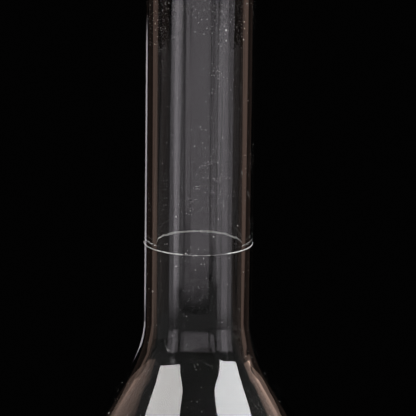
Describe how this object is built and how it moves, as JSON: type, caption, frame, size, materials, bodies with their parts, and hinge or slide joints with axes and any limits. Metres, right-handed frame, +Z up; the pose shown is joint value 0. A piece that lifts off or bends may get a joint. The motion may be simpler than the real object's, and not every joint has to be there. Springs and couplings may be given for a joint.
{
  "type": "volumetric flask",
  "caption": "Clear glass volumetric flask: pear-shaped bulb, long narrow neck with a graduation ring, ground socket and lift-out hollow penny-head stopper.",
  "frame": {"origin": "centre of the foot, on the surface that the flask stands on", "axes": "+Z up along the flask's axis, from the foot to the stopper; the penny head's flat faces look along +Y and -Y"},
  "size_m": [0.0592, 0.0592, 0.1939],
  "materials": {
    "clear_glass": "polished clear borosilicate glass",
    "socket_glass": "clear borosilicate glass, ground matt on the inside of the taper",
    "ground_glass": "borosilicate glass with its cone ground matt",
    "white_enamel": "fired white enamel, satin"
  },
  "bodies": {
    "flask": {"bulb": "clear_glass", "neck_tube": "clear_glass", "ground_socket": "socket_glass", "graduation_ring": "white_enamel"},
    "stopper": {"stopper_plug": "ground_glass", "stopper_head": "clear_glass"}
  },
  "joints": [
    {"name": "stopper_lift", "type": "slide", "parent": "flask", "child": "stopper", "axis": [0, 0, 1], "range_m": [0, 0.045]}
  ]
}
